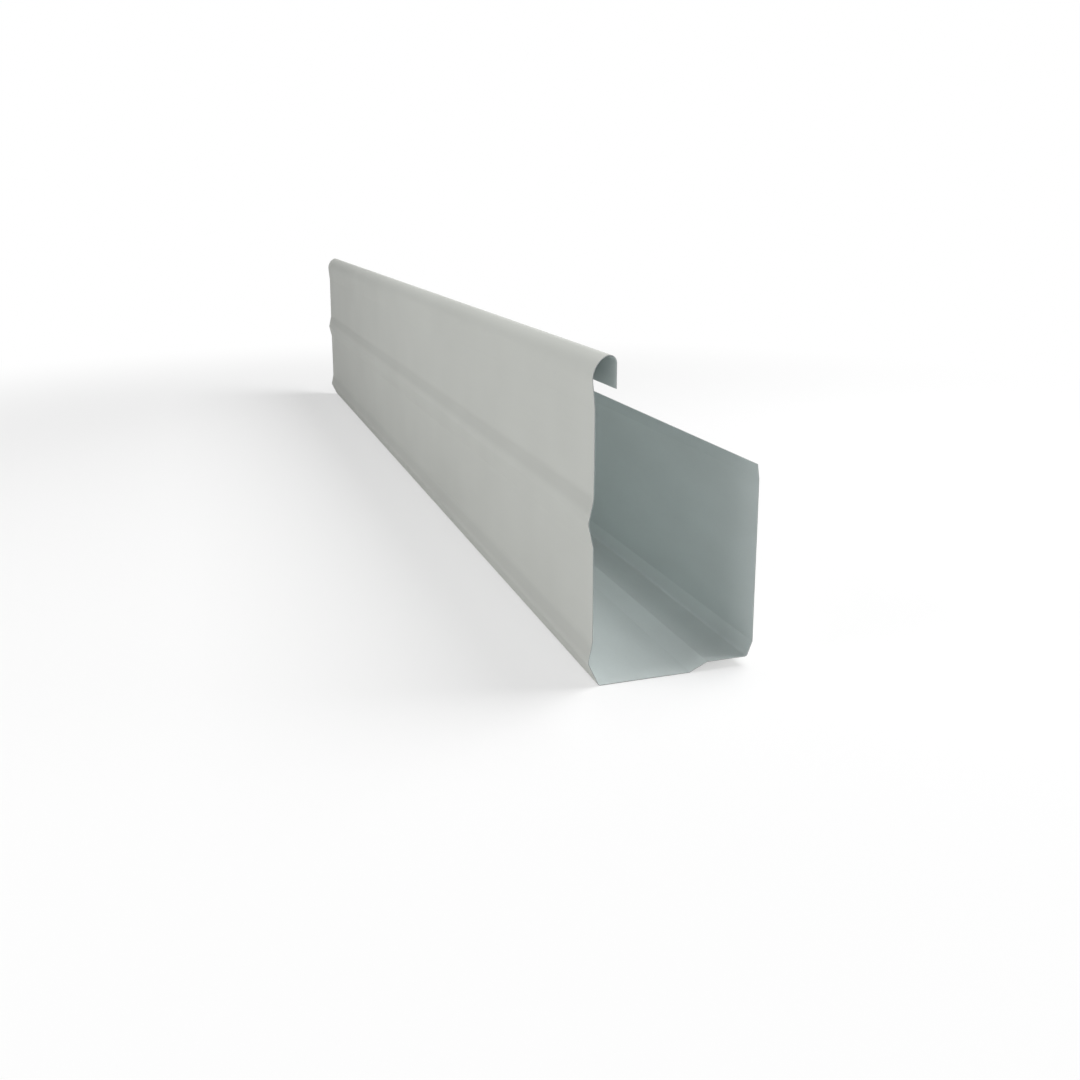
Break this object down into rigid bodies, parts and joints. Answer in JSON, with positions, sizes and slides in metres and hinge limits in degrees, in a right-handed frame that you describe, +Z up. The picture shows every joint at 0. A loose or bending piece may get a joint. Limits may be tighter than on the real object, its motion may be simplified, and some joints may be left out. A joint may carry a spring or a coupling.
{
  "type": "gutter section",
  "caption": "Straight length of high-front eaves gutter, folded from one painted steel sheet, with a hollow bead, ribbed face and stepped sole.",
  "frame": {"origin": "middle of the footprint, level with the underside of the sole", "axes": "+X from the tall face to the back wall, +Y along the length, +Z up"},
  "size_m": [0.1028, 1, 0.186],
  "materials": {
    "painted_steel": "smooth satin coil-coated paint, light warm grey outside with a grey-green backing coat inside"
  },
  "bodies": {
    "root": {"gutter_section": "painted_steel"}
  },
  "joints": []
}
